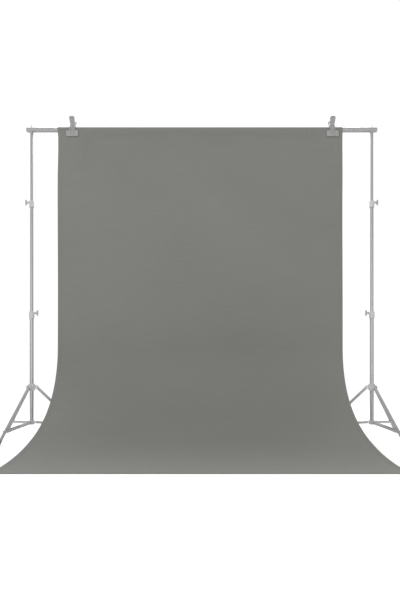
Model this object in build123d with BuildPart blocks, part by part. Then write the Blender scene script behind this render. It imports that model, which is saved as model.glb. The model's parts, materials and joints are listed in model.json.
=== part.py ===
from build123d import *
import math
import os

# Background support: two folding light stands carry a round crossbar, and a
# cloth hangs from the bar and sweeps forward onto the floor.
# Millimetres, +Z up, +X along the bar, -Y towards the front of the cloth.
# The origin is on the floor, in the middle of the object's footprint.

os.makedirs("parts", exist_ok=True)

# ---- driving dimensions ----------------------------------------------------

stand_spacing = 1950.0  # between the two column axes
bar_length = 2000.0
bar_diameter = 26.0
bar_wall = 1.5
bar_sections = 3
bar_joint_length = 50.0  # how far one section plugs into the next
bar_joint_root = 6.0  # the reduced end starts this far inside its own section
bar_height = 1760.0  # bar axis above the floor
bar_plug_rim = 3.0
plug_wall = 2.0
plug_stud_gap = 3.0  # between a plug's inner end and the stud

lower_tube_diameter = 22.0
tube_wall = 1.2
tube_nesting_gap = 0.3  # radial gap of each tube inside the next

column_foot_height = 72.0  # lower end of the column above the floor
lower_lock_bottom = 679.0
lower_lock_height = 40.0
upper_lock_bottom = 1315.0
upper_lock_height = 37.0
lock_wall = 4.0
lock_chamfer = 1.2
lock_knob_drop = 8.0  # knob axis below the top of its lock
lock_seat_depth = 26.0  # the tube's end sits this far up inside its lock
mid_tube_overlap = 69.0  # mid tube left inside the lower tube
top_tube_overlap = 290.0  # top tube left inside the mid tube

knob_stem_diameter = 6.0
knob_stem_seat = 1.0  # stem inside the knob's hub
knob_boss_diameter = 14.0
knob_boss_length = 11.0
knob_hub_diameter = 12.0
knob_hub_length = 12.0
knob_wing_span = 34.0
knob_wing_thickness = 4.0
knob_wing_height = 13.0
knob_wing_setback = 2.0  # the wings start this far up the hub
knob_wing_shoulder = 3.0
knob_wing_end = 1.0  # the wings close this far below the hub's end

stud_diameter = 8.0
stud_rise = 15.0  # stud above the top of the bar
stud_tip_diameter = 7.0
stud_shoulder = 1.0  # the full diameter ends this far above the bar
stud_tip_chamfer = 1.2
stud_collar_diameter = 20.0
stud_collar_height = 5.0
stud_plug_length = 40.0

leg_diameter = 16.0
leg_wall = 1.2
leg_heading = 18.0  # inner leg's bearing from the bar, degrees
leg_pivot_height = 286.0
leg_collar_gap = 1.4  # between an upright leg and the collar
leg_foot_radius = 301.0  # where the foot meets the floor, from the column axis
foot_diameter = 18.0
foot_length = 32.0
foot_cap = 4.0
foot_round = 3.0

collar_height = 38.0
collar_wall = 7.0
collar_chamfer = 1.5
ear_thickness = 3.0
ear_radius = 9.0
rivet_diameter = 5.0
rivet_head_diameter = 8.0
rivet_head_height = 1.6

hub_height = 24.0
hub_wall = 4.0
hub_chamfer = 1.2
hub_pivot_height = 84.0
hub_pivot_out = 5.0  # brace pivot beyond the hub's wall
hub_floor = 3.0
brace_width = 12.0
brace_thickness = 1.5
brace_foot_gap = 0.4  # the folded foot lies between a brace's two sides
brace_leg_distance = 307.0  # leg pivot to brace pivot, along the leg
web_start = 24.0
web_end = 95.0

cloth_width = 1624.0
cloth_offset = -9.0  # middle of the cloth along the bar
cloth_thickness = 2.0
cloth_reach = 840.0  # front edge of the cloth, forward of its hanging plane
sweep_height = 520.0  # where the cloth leaves the vertical
sweep_flat = 800.0  # where the cloth is down on the floor, from its hanging plane
sweep_upper_pull = 165.0  # height of the curve's upper handle
sweep_lower_pull = 370.0  # reach of the curve's lower handle
flap_drop = 85.0  # rear hem below the bar axis
floor_end_start = 640.0  # the part of the cloth that stays on the floor starts here

clamp_places = (-738.0, 745.0)  # along the bar
clamp_jaw_width = 68.0
clamp_jaw_bottom = -44.0  # from the bar axis
clamp_handle_top = 66.0
clamp_handle_width = 32.0
clamp_handle_reach = 31.0  # outer face of a handle's tip, from the bar axis
clamp_plate = 3.0
clamp_ear = 2.0
clamp_ear_wall = 4.0  # ear around the pin
clamp_ear_trim = 1.0  # the ear's root is this much lower than its eye
clamp_waist = 8.0  # plate beside the pivot, from the bar axis
clamp_pivot_rise = 9.0  # pivot above the cloth on top of the bar
clamp_pin_diameter = 5.0
clamp_pin_end = 1.5  # pin beyond the outer ear
clamp_elbow_outer_drop = 2.0  # bend below the pivot, on the outer face
clamp_elbow_inner_drop = 4.0
clamp_elbow_share = 0.6  # lower bend, as a share of the bar's radius above its axis
clamp_plate_end = 4.0  # the plate stops this far above the pad's lower edge
clamp_spring_half = 8.4
clamp_spring_turns = 8
clamp_pad = 5.0
clamp_pad_top = -12.0
clamp_pad_corner = 4.0

slide_gap = 0.10  # radial gap of a tube in the guide that it slides through
pin_gap = 0.05  # radial gap of a pin that a part turns on
side_gap = 0.3  # gap between faces that pass each other
cloth_gap = 0.4  # gap between the cloth and what moves beside it

# ---- sizes that follow -----------------------------------------------------

mid_tube_diameter = lower_tube_diameter - 2 * (tube_wall + tube_nesting_gap)
top_tube_diameter = mid_tube_diameter - 2 * (tube_wall + tube_nesting_gap)
collar_radius = lower_tube_diameter / 2 + slide_gap + collar_wall
leg_pivot_radius = collar_radius + leg_collar_gap + leg_diameter / 2
hub_radius = lower_tube_diameter / 2 + hub_wall
hub_pivot_radius = hub_radius + hub_pivot_out
leg_drop = leg_pivot_height - foot_cap
leg_slope = math.atan2(leg_foot_radius - leg_pivot_radius, leg_drop)
leg_length = math.hypot(leg_foot_radius - leg_pivot_radius, leg_drop)
brace_pin_radius = leg_pivot_radius + brace_leg_distance * math.sin(leg_slope)
brace_pin_height = leg_pivot_height - brace_leg_distance * math.cos(leg_slope)
brace_rise = brace_pin_height - hub_pivot_height
brace_length = math.hypot(brace_pin_radius - hub_pivot_radius, brace_rise)
brace_slope = math.atan2(brace_rise, brace_pin_radius - hub_pivot_radius)
brace_inside = foot_diameter / 2 + brace_foot_gap  # half the gap between a brace's two sides
brace_outside = brace_inside + brace_thickness

cloth_front = cloth_reach + bar_diameter / 2
leg_back = (leg_foot_radius + foot_diameter / 2) * math.sin(math.radians(leg_heading + 120))
bar_y = (cloth_front - leg_back) / 2  # centres the footprint on the origin
bar_radius = bar_diameter / 2
wrap_outer = bar_radius + cloth_thickness
clamp_pivot_height = wrap_outer + clamp_pivot_rise
lower_lock_top = lower_lock_bottom + lower_lock_height
upper_lock_top = upper_lock_bottom + upper_lock_height
mid_tube_bottom = lower_lock_top - mid_tube_overlap
top_tube_bottom = upper_lock_top - top_tube_overlap
top_tube_top = bar_height - bar_radius - side_gap - stud_collar_height
section_length = bar_length / bar_sections

sides = {"left": -1, "right": 1}
legs = {"inner": 0, "back": 1, "front": 2}


def save(part, name):
    """Label a finished piece and write it to its own file."""
    part.label = name
    export_step(part, f"parts/{name}.step")


def column_x(side):
    """Where a stand's column axis is along the bar."""
    return sides[side] * stand_spacing / 2


def heading(side, leg):
    """Bearing of a leg from +X, in degrees; the right stand mirrors the left."""
    bearing = leg_heading + 120 * legs[leg]
    return bearing if side == "left" else 180 - bearing


def side_plane(side, leg, radius, height, slope=0.0):
    """The upright plane through a leg: x runs outward, raised by the slope."""
    turn = math.radians(heading(side, leg))
    outward = Vector(math.cos(turn), math.sin(turn), 0)
    across = Vector(math.sin(turn), -math.cos(turn), 0)
    origin = Vector(column_x(side), bar_y, height) + outward * radius
    along = outward * math.cos(slope) + Vector(0, 0, math.sin(slope))
    return Plane(origin=origin, x_dir=along, z_dir=across)


def floor_plane(side, height):
    """A level plane on a stand's column axis."""
    return Plane(origin=(column_x(side), bar_y, height))


def rivets(name, places):
    """A group of rivets; each place is its plane and half the length it grips."""
    shank = rivet_diameter / 2
    head = rivet_head_diameter / 2
    with BuildPart() as group:
        for face, half in places:
            top = half + rivet_head_height
            brim = half + rivet_head_height / 2
            across = Plane(origin=face.origin, x_dir=face.z_dir, z_dir=face.y_dir)
            with BuildSketch(across):
                with BuildLine():
                    Polyline(
                        (-top, 0),
                        (top, 0),
                        (top, head / 2),
                        (brim, head),
                        (half, head),
                        (half, shank),
                        (-half, shank),
                        (-half, head),
                        (-brim, head),
                        (-top, head / 2),
                        (-top, 0),
                    )
                make_face()
            revolve(axis=Axis(across.origin, across.x_dir))
    save(group.part, name)


# ---- stands: tubes, locks, studs -------------------------------------------


def tube(name, side, bottom, top, outer, wall):
    """A round tube of a stand's column."""
    with BuildPart() as piece:
        with BuildSketch(floor_plane(side, bottom)):
            Circle(outer / 2)
            Circle(outer / 2 - wall, mode=Mode.SUBTRACT)
        extrude(amount=top - bottom)
    save(piece.part, name)


def lock(name, side, knob_side, bottom, height, tube_outer, inner_outer):
    """A lock collar: it caps its tube and guides the next tube through its lid."""
    outer_radius = tube_outer / 2 + lock_wall
    with BuildPart() as piece:
        with BuildSketch(floor_plane(side, bottom)):
            Circle(outer_radius)
        extrude(amount=height)
        chamfer(piece.edges().filter_by(GeomType.CIRCLE), length=lock_chamfer)
        boss_plane = Plane(
            origin=(column_x(side), bar_y, bottom + lock_knob_height(height)),
            x_dir=(0, 1, 0),
            z_dir=(knob_side, 0, 0),
        )
        with BuildSketch(boss_plane):
            Circle(knob_boss_diameter / 2)
        extrude(amount=tube_outer / 2 + knob_boss_length)
        with BuildSketch(floor_plane(side, bottom)):
            Circle(tube_outer / 2)
        extrude(amount=lock_seat_depth, mode=Mode.SUBTRACT)
        with BuildSketch(floor_plane(side, bottom)):
            Circle(inner_outer / 2 + slide_gap)
        extrude(amount=height, mode=Mode.SUBTRACT)
        with BuildSketch(boss_plane):
            Circle(knob_stem_diameter / 2 + pin_gap)
        extrude(amount=outer_radius + knob_boss_length, mode=Mode.SUBTRACT)
    save(piece.part, name)


def lock_knob_height(height):
    """A wing knob's axis above the foot of its lock collar."""
    return height - lock_knob_drop


def wing_knob(name, side, knob_side, lock_bottom, height, tube_outer, inner_outer):
    """A wing knob on its threaded stem, which presses on the inner tube."""
    stem_start = inner_outer / 2 + side_gap
    hub_start = tube_outer / 2 + knob_boss_length + side_gap
    axis_z = lock_bottom + lock_knob_height(height)
    with BuildPart() as piece:
        face = Plane(
            origin=(column_x(side), bar_y, axis_z),
            x_dir=(0, 1, 0),
            z_dir=(knob_side, 0, 0),
        )
        with BuildSketch(face.offset(stem_start)):
            Circle(knob_stem_diameter / 2)
        extrude(amount=hub_start - stem_start + knob_stem_seat)
        with BuildSketch(face.offset(hub_start)):
            Circle(knob_hub_diameter / 2)
        extrude(amount=knob_hub_length)
        wing_side = Plane(
            origin=(column_x(side), bar_y, axis_z),
            x_dir=(knob_side, 0, 0),
            z_dir=(0, -knob_side, 0),
        )
        wing_tip = knob_wing_span / 2
        wing_base = hub_start + knob_wing_setback
        wing_root = 0.8 * knob_hub_diameter / 2
        with BuildSketch(wing_side):
            with BuildLine():
                for sign in (1, -1):
                    Line((wing_base, 0), (wing_base, sign * wing_root))
                    Spline(
                        (wing_base, sign * wing_root),
                        (wing_base + knob_wing_shoulder, sign * wing_tip * 0.8),
                        (wing_base + knob_wing_height * 0.6, sign * wing_tip),
                        (wing_base + knob_wing_height, sign * wing_tip * 0.75),
                        (wing_base + knob_hub_length - knob_wing_end, 0),
                    )
            make_face()
        extrude(amount=knob_wing_thickness / 2, both=True)
    save(piece.part, name)


def stud(name, side):
    """The stud: a plug in the top tube, a collar, and a pin through the bar."""
    with BuildPart() as piece:
        with BuildSketch(floor_plane(side, top_tube_top)):
            Circle(top_tube_diameter / 2 - tube_wall)
        extrude(amount=-stud_plug_length)
        with BuildSketch(floor_plane(side, top_tube_top)):
            Circle(stud_collar_diameter / 2)
        extrude(amount=stud_collar_height)
        with BuildSketch(floor_plane(side, top_tube_top)):
            Circle(stud_diameter / 2)
        extrude(amount=bar_height + bar_radius + stud_shoulder - top_tube_top)
        with BuildSketch(floor_plane(side, bar_height + bar_radius)):
            Circle(stud_tip_diameter / 2)
        extrude(amount=stud_rise)
        tip = piece.faces().sort_by(Axis.Z)[-1]
        chamfer(tip.edges(), length=stud_tip_chamfer)
    save(piece.part, name)


for side in sides:
    outward = sides[side]
    tube(f"{side}_lower_tube", side, column_foot_height + hub_floor,
         lower_lock_bottom + lock_seat_depth, lower_tube_diameter, tube_wall)
    tube(f"{side}_mid_tube", side, mid_tube_bottom,
         upper_lock_bottom + lock_seat_depth, mid_tube_diameter, tube_wall)
    tube(f"{side}_top_tube", side, top_tube_bottom, top_tube_top, top_tube_diameter, tube_wall)
    lower = (lower_lock_bottom, lower_lock_height, lower_tube_diameter, mid_tube_diameter)
    upper = (upper_lock_bottom, upper_lock_height, mid_tube_diameter, top_tube_diameter)
    lock(f"{side}_lower_lock", side, -outward, *lower)
    lock(f"{side}_upper_lock", side, outward, *upper)
    wing_knob(f"{side}_lower_knob", side, -outward, *lower)
    wing_knob(f"{side}_upper_knob", side, outward, *upper)
    stud(f"{side}_stud", side)

# ---- tripods: collar, hub, legs, braces ------------------------------------


def leg_collar(name, side):
    """The sliding collar, with a pair of ears for each leg."""
    bottom = leg_pivot_height - collar_height / 2
    bore = lower_tube_diameter / 2 + slide_gap
    ear_inside = leg_diameter / 2 + side_gap
    with BuildPart() as piece:
        with BuildSketch(floor_plane(side, bottom)):
            Circle(collar_radius)
        extrude(amount=collar_height)
        chamfer(piece.edges().filter_by(GeomType.CIRCLE), length=collar_chamfer)
        for leg in legs:
            for sign in (1, -1):
                face = side_plane(side, leg, 0, leg_pivot_height)
                start = ear_inside if sign > 0 else -ear_inside - ear_thickness
                with BuildSketch(face.offset(start)):
                    with Locations((leg_pivot_radius / 2, 0)):
                        Rectangle(leg_pivot_radius, 2 * ear_radius)
                    with Locations((leg_pivot_radius, 0)):
                        Circle(ear_radius)
                extrude(amount=ear_thickness)
        for leg in legs:
            with BuildSketch(side_plane(side, leg, leg_pivot_radius, leg_pivot_height)):
                Circle(rivet_diameter / 2)
            extrude(amount=ear_inside + ear_thickness, both=True, mode=Mode.SUBTRACT)
        with BuildSketch(floor_plane(side, bottom)):
            Circle(bore)
        extrude(amount=collar_height, mode=Mode.SUBTRACT)
    save(piece.part, name)


def hub(name, side):
    """The hub: a cup on the column's foot, with a lug for each brace."""
    bore = lower_tube_diameter / 2
    lug_half = brace_inside - side_gap
    with BuildPart() as piece:
        with BuildSketch(floor_plane(side, column_foot_height)):
            Circle(hub_radius)
        extrude(amount=hub_height)
        chamfer(piece.edges().filter_by(GeomType.CIRCLE), length=hub_chamfer)
        for leg in legs:
            with BuildSketch(side_plane(side, leg, 0, hub_pivot_height)):
                with Locations((hub_pivot_radius / 2, 0)):
                    Rectangle(hub_pivot_radius, brace_width)
                with Locations((hub_pivot_radius, 0)):
                    Circle(brace_width / 2)
            extrude(amount=lug_half, both=True)
        for leg in legs:
            with BuildSketch(side_plane(side, leg, hub_pivot_radius, hub_pivot_height)):
                Circle(rivet_diameter / 2)
            extrude(amount=lug_half, both=True, mode=Mode.SUBTRACT)
        with BuildSketch(floor_plane(side, column_foot_height + hub_floor)):
            Circle(bore)
        extrude(amount=hub_height, mode=Mode.SUBTRACT)
    save(piece.part, name)


def leg_tube(name, side, leg):
    """A leg: a tube with a closed round end at its pivot, drilled for two pins."""
    face = side_plane(side, leg, leg_pivot_radius, leg_pivot_height, leg_slope - math.pi / 2)
    outer = leg_diameter / 2
    inner = outer - leg_wall
    end = leg_length - foot_cap
    with BuildPart() as piece:
        with BuildSketch(face):
            with BuildLine():
                Line((-outer, 0), (-inner, 0))
                ThreePointArc((-inner, 0), (-inner * math.sqrt(0.5), inner * math.sqrt(0.5)), (0, inner))
                Polyline((0, inner), (end, inner), (end, outer), (0, outer))
                ThreePointArc((0, outer), (-outer * math.sqrt(0.5), outer * math.sqrt(0.5)), (-outer, 0))
            make_face()
        revolve(axis=Axis(face.origin, face.x_dir))
        with BuildSketch(face):
            Circle(rivet_diameter / 2 + pin_gap)
            with Locations((brace_leg_distance, 0)):
                Circle(rivet_diameter / 2)
        extrude(amount=outer, both=True, mode=Mode.SUBTRACT)
    save(piece.part, name)


def leg_foot(name, side, leg):
    """A rubber cup on the leg's end, rounded where it meets the floor."""
    face = side_plane(side, leg, leg_pivot_radius, leg_pivot_height, leg_slope - math.pi / 2)
    outer = foot_diameter / 2
    bore = leg_diameter / 2
    end = leg_length - foot_cap
    tip = end + foot_cap
    start = tip - foot_length
    round_inset = foot_round * (1 - math.sqrt(0.5))
    with BuildPart() as piece:
        with BuildSketch(face):
            with BuildLine():
                Polyline((end, 0), (end, bore), (start, bore), (start, outer), (tip - foot_round, outer))
                ThreePointArc(
                    (tip - foot_round, outer),
                    (tip - round_inset, outer - round_inset),
                    (tip, outer - foot_round),
                )
                Polyline((tip, outer - foot_round), (tip, 0), (end, 0))
            make_face()
        revolve(axis=Axis(face.origin, face.x_dir))
        split(bisect_by=Plane.XY, keep=Keep.TOP)
    save(piece.part, name)


def brace(name, side, leg):
    """A U-section brace: two side strips, and a web over its inner stretch."""
    face = side_plane(side, leg, hub_pivot_radius, hub_pivot_height, brace_slope)
    half = brace_width / 2
    with BuildPart() as piece:
        for sign in (1, -1):
            start = brace_inside if sign > 0 else -brace_outside
            with BuildSketch(face.offset(start)):
                with Locations((brace_length / 2, 0)):
                    SlotCenterToCenter(brace_length, brace_width)
            extrude(amount=brace_thickness)
        with BuildSketch(face.offset(-brace_outside)):
            with Locations(((web_start + web_end) / 2, half - brace_thickness / 2)):
                Rectangle(web_end - web_start, brace_thickness)
        extrude(amount=2 * brace_outside)
        with BuildSketch(face):
            Circle(rivet_diameter / 2 + pin_gap)
            with Locations((brace_length, 0)):
                Circle(rivet_diameter / 2 + side_gap)
        extrude(amount=brace_outside, both=True, mode=Mode.SUBTRACT)
    save(piece.part, name)


def leg_pin(name, side, leg):
    """A pin through the leg that stops inside the brace's two sides."""
    with BuildPart() as piece:
        with BuildSketch(side_plane(side, leg, brace_pin_radius, brace_pin_height)):
            Circle(rivet_diameter / 2)
        extrude(amount=brace_inside - side_gap, both=True)
    save(piece.part, name)


ear_outside = leg_diameter / 2 + side_gap + ear_thickness
for side in sides:
    leg_collar(f"{side}_leg_collar", side)
    hub(f"{side}_hub", side)
    rivets(
        f"{side}_collar_rivets",
        [(side_plane(side, leg, leg_pivot_radius, leg_pivot_height), ear_outside) for leg in legs],
    )
    for leg in legs:
        leg_tube(f"{side}_{leg}_leg", side, leg)
        leg_foot(f"{side}_{leg}_foot", side, leg)
        brace(f"{side}_{leg}_brace", side, leg)
        leg_pin(f"{side}_{leg}_leg_pin", side, leg)

rivets(
    "hub_rivets",
    [
        (side_plane(side, leg, hub_pivot_radius, hub_pivot_height), brace_outside + side_gap)
        for side in sides
        for leg in legs
    ],
)

# ---- crossbar ----------------------------------------------------------------

bar_start = Plane(origin=(-bar_length / 2, bar_y, bar_height), x_dir=(0, 1, 0), z_dir=(1, 0, 0))
bar_inner = bar_radius - bar_wall
joint_inner = bar_inner - bar_wall

for index in range(bar_sections):
    start = index * section_length
    last = index == bar_sections - 1
    with BuildPart() as bar_section:
        with BuildSketch(bar_start.offset(start)):
            Circle(bar_radius)
            Circle(bar_inner, mode=Mode.SUBTRACT)
        extrude(amount=section_length)
        if not last:
            # The reduced end that plugs into the next section.
            neck = start + section_length - bar_joint_root
            with BuildSketch(bar_start.offset(neck)):
                Circle(bar_inner)
                Circle(joint_inner, mode=Mode.SUBTRACT)
            extrude(amount=bar_joint_root + bar_joint_length)
        for side in sides:
            if index == (0 if side == "left" else bar_sections - 1):
                # The hole that the stud passes through.
                with BuildSketch(floor_plane(side, bar_height)):
                    Circle(stud_diameter / 2 + side_gap)
                extrude(amount=bar_radius + 1, both=True, mode=Mode.SUBTRACT)
    save(bar_section.part, f"crossbar_section_{index + 1}")

stud_from_end = (bar_length - stand_spacing) / 2
plug_insert = stud_from_end - stud_diameter / 2 - plug_stud_gap

with BuildPart() as bar_plugs:
    for sign in (-1, 1):
        end_plane = Plane(
            origin=(sign * bar_length / 2, bar_y, bar_height),
            x_dir=(0, 1, 0),
            z_dir=(sign, 0, 0),
        )
        with BuildSketch(end_plane):
            Circle(bar_radius)
        extrude(amount=bar_plug_rim)
        with BuildSketch(end_plane):
            Circle(bar_inner)
            Circle(bar_inner - plug_wall, mode=Mode.SUBTRACT)
        extrude(amount=-plug_insert)
save(bar_plugs.part, "bar_end_plugs")

# ---- backdrop ------------------------------------------------------------------

# The side view of the cloth: x forward of the bar axis, y up from the floor.
cloth_side = Plane(origin=(cloth_offset + cloth_width / 2, bar_y, 0), x_dir=(0, -1, 0), z_dir=(-1, 0, 0))


def sweep_curve(face_x, face_z):
    """One face of the cloth's sweep, from upright to flat on the floor."""
    return (
        (face_x, sweep_height),
        (face_x, sweep_upper_pull),
        (bar_radius + sweep_lower_pull, face_z),
        (bar_radius + sweep_flat, face_z),
    )


with BuildPart() as whole_cloth:
    with BuildSketch(cloth_side):
        with BuildLine():
            hem = bar_height - flap_drop
            # Inside face: up the back, over the bar, down the front and along the floor.
            Polyline((-wrap_outer, hem), (-bar_radius, hem), (-bar_radius, bar_height))
            ThreePointArc(
                (-bar_radius, bar_height),
                (0, bar_height + bar_radius),
                (bar_radius, bar_height),
            )
            Line((bar_radius, bar_height), (bar_radius, sweep_height))
            Bezier(*sweep_curve(bar_radius, 0))
            # Outside face, back again.
            Polyline(
                (bar_radius + sweep_flat, 0),
                (cloth_front, 0),
                (cloth_front, cloth_thickness),
                (bar_radius + sweep_flat, cloth_thickness),
            )
            Bezier(*sweep_curve(wrap_outer, cloth_thickness))
            Line((wrap_outer, sweep_height), (wrap_outer, bar_height))
            ThreePointArc(
                (wrap_outer, bar_height),
                (0, bar_height + wrap_outer),
                (-wrap_outer, bar_height),
            )
            Line((-wrap_outer, bar_height), (-wrap_outer, hem))
        make_face()
    extrude(amount=cloth_width)

# The cloth in two pieces: what hangs, and the end that lies on the floor.
floor_line = Plane(origin=(0, bar_y - bar_radius - floor_end_start, 0), z_dir=(0, 1, 0))
for cloth_name, kept in (("backdrop", Keep.TOP), ("backdrop_floor_end", Keep.BOTTOM)):
    with BuildPart() as cloth_piece:
        add(whole_cloth.part)
        split(bisect_by=floor_line, keep=kept)
    save(cloth_piece.part, cloth_name)

# ---- spring clamps -------------------------------------------------------------

grip = wrap_outer + cloth_gap
pivot_ear = clamp_pin_diameter / 2 + clamp_ear_wall
elbow_height = clamp_elbow_share * bar_radius
plate_end = clamp_jaw_bottom + clamp_plate_end
front_ear_start = clamp_spring_half + side_gap + clamp_ear + side_gap
rear_ear_start = clamp_spring_half + side_gap


def clamp_side(place, facing):
    """A clamp's side view: x away from the bar axis on one side, y up."""
    return Plane(
        origin=(place, bar_y, bar_height),
        x_dir=(0, -facing, 0),
        z_dir=(-facing, 0, 0),
    )


def clamp_jaw(name, place, facing, ear_start):
    """One half of a spring clamp: a handle, an elbow round the bar and a wide pad."""
    face = clamp_side(place, facing)
    waist = clamp_waist
    with BuildPart() as piece:
        with BuildSketch(face):
            Polygon(
                (clamp_handle_reach - clamp_plate, clamp_handle_top),
                (clamp_handle_reach, clamp_handle_top),
                (waist + clamp_plate, clamp_pivot_height + pivot_ear),
                (waist + clamp_plate, clamp_pivot_height - clamp_elbow_outer_drop),
                (grip + clamp_plate, elbow_height),
                (grip + clamp_plate, plate_end),
                (grip, plate_end),
                (grip, elbow_height),
                (waist, clamp_pivot_height - clamp_elbow_inner_drop),
                (waist, clamp_pivot_height + pivot_ear),
                align=None,
            )
        extrude(amount=clamp_handle_width / 2, both=True)
        pad_face = Plane(
            origin=face.origin + face.x_dir * grip,
            x_dir=(1, 0, 0),
            z_dir=face.x_dir,
        )
        pad_height = clamp_pad_top - clamp_jaw_bottom
        pad_up = 1 if pad_face.y_dir.Z > 0 else -1
        with BuildSketch(pad_face):
            with Locations((0, pad_up * (clamp_pad_top - pad_height / 2))):
                RectangleRounded(clamp_jaw_width, pad_height, clamp_pad_corner)
        extrude(amount=clamp_pad)
        for sign in (1, -1):
            start = ear_start if sign > 0 else -ear_start - clamp_ear
            with BuildSketch(face.offset(start)):
                with Locations((0, clamp_pivot_height)):
                    Circle(pivot_ear)
                with Locations(((waist + clamp_plate / 2) / 2, clamp_pivot_height)):
                    Rectangle(waist + clamp_plate / 2, 2 * pivot_ear - clamp_ear_trim)
            extrude(amount=clamp_ear)
        with BuildSketch(face):
            with Locations((0, clamp_pivot_height)):
                Circle(clamp_pin_diameter / 2 + pin_gap)
        extrude(amount=clamp_handle_width, both=True, mode=Mode.SUBTRACT)
    save(piece.part, name)


for clamp_name, place in zip(sides, clamp_places):
    clamp_jaw(f"{clamp_name}_clamp_front_jaw", place, 1, front_ear_start)
    clamp_jaw(f"{clamp_name}_clamp_rear_jaw", place, -1, rear_ear_start)

with BuildPart() as clamp_pins:
    for place in clamp_places:
        with BuildSketch(clamp_side(place, 1)):
            with Locations((0, clamp_pivot_height)):
                Circle(clamp_pin_diameter / 2)
        extrude(amount=front_ear_start + clamp_ear + clamp_pin_end, both=True)
save(clamp_pins.part, "clamp_pins")

with BuildPart() as clamp_springs:
    for place in clamp_places:
        # A close-wound coil, drawn as a ridged sleeve on the pin.
        axis_line = Axis((place, bar_y, bar_height + clamp_pivot_height), (1, 0, 0))
        pitch = 2 * clamp_spring_half / clamp_spring_turns
        inner = clamp_pin_diameter / 2 + side_gap
        rest = inner + pitch / 2
        sleeve = Plane(origin=axis_line.position, x_dir=(1, 0, 0), z_dir=(0, -1, 0))
        with BuildSketch(sleeve):
            with BuildLine():
                Polyline(
                    (-clamp_spring_half, rest),
                    (-clamp_spring_half, inner),
                    (clamp_spring_half, inner),
                    (clamp_spring_half, rest),
                )
                for turn in range(clamp_spring_turns):
                    low = -clamp_spring_half + turn * pitch
                    ThreePointArc((low, rest), (low + pitch / 2, rest + pitch / 2), (low + pitch, rest))
            make_face()
        revolve(axis=axis_line)
save(clamp_springs.part, "clamp_springs")
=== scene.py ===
import bisect
import json
import math

import bmesh
import bpy
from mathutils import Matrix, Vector, noise


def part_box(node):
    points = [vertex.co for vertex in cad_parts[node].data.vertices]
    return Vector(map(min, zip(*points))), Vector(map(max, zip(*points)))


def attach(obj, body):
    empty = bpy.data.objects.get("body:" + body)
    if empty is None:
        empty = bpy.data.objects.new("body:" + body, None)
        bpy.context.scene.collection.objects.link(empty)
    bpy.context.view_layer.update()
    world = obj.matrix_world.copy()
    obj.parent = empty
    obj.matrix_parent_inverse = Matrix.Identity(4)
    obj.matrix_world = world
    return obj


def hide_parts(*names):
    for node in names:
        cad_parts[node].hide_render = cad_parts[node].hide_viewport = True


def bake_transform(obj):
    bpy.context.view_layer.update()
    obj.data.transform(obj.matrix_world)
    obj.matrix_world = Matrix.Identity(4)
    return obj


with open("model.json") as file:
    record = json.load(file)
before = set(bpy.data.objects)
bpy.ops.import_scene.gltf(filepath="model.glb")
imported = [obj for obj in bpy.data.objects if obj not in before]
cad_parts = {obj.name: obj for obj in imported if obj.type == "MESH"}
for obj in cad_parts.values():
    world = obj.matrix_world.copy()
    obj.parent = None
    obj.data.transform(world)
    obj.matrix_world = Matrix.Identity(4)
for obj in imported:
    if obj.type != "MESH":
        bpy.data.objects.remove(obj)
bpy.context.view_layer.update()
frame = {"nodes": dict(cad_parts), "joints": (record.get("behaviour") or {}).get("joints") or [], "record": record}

bl_info = {
    "name": "Background support system",
    "version": (1, 0, 0),
    "blender": (4, 5, 0),
    "location": "View3D > Sidebar > Backdrop",
    "description": "Finishes two light stands, their crossbar, a hung cloth and its clamps",
    "category": "Object",
}

SIDES = ("left", "right")
LEGS = ("inner", "back", "front")
BODY_OF = {
    node: body
    for body, nodes in frame["record"]["behaviour"]["bodies"].items()
    for node in nodes
}


def middle(node):
    """The centre of a node's box at rest."""
    low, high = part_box(node)
    return (Vector(low) + Vector(high)) / 2


BAR = middle("crossbar_section_2")
BAR_RADIUS = (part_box("crossbar_section_2")[1][2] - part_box("crossbar_section_2")[0][2]) / 2
CLOTH_NODES = [node for node in frame["nodes"] if node.startswith("backdrop")]
CLOTH_LOW = Vector([min(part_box(node)[0][axis] for node in CLOTH_NODES) for axis in range(3)])
CLOTH_HIGH = Vector([max(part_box(node)[1][axis] for node in CLOTH_NODES) for axis in range(3)])
CLAMP_PLACES = [middle(f"{side}_clamp_front_jaw").x for side in SIDES]
FLAP_DROP = 0.085
REAR_HEM = BAR.z - FLAP_DROP
HEM_SWELL = 1.7
STITCH_INSET = 0.82


class BackdropSizes(bpy.types.PropertyGroup):
    """The cloth's own sizes, in metres."""

    thickness: bpy.props.FloatProperty(
        name="Thickness", description="Thickness of the cloth", default=0.0016, unit="LENGTH"
    )
    sweep_height: bpy.props.FloatProperty(
        name="Sweep height", description="Where the cloth leaves the upright", default=0.520, unit="LENGTH"
    )
    sweep_flat: bpy.props.FloatProperty(
        name="Sweep reach", description="Where the cloth is down on the floor", default=0.800, unit="LENGTH"
    )
    sweep_upper_pull: bpy.props.FloatProperty(
        name="Upper pull", description="Height of the curve's upper handle", default=0.165, unit="LENGTH"
    )
    sweep_lower_pull: bpy.props.FloatProperty(
        name="Lower pull", description="Reach of the curve's lower handle", default=0.370, unit="LENGTH"
    )
    split_height: bpy.props.FloatProperty(
        name="Split height", description="Where the two cloth pieces meet", default=1.030, unit="LENGTH"
    )
    hem_width: bpy.props.FloatProperty(
        name="Hem width", description="Width of the folded and sewn edge", default=0.018, unit="LENGTH"
    )
    ripple: bpy.props.FloatProperty(
        name="Ripple", description="Depth of the hanging cloth's folds", default=0.0030, unit="LENGTH"
    )
    tuck: bpy.props.FloatProperty(
        name="Tuck", description="How far the cloth draws in under the bar", default=0.0130, unit="LENGTH"
    )
    stitch_pitch: bpy.props.FloatProperty(
        name="Stitch pitch", description="Distance from stitch to stitch", default=0.0060, unit="LENGTH"
    )


def colour(name, text, default):
    """A colour property of a finish."""
    return bpy.props.FloatVectorProperty(
        name=name, description=text, default=default, size=3, subtype="COLOR", min=0.0, max=1.0
    )


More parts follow.
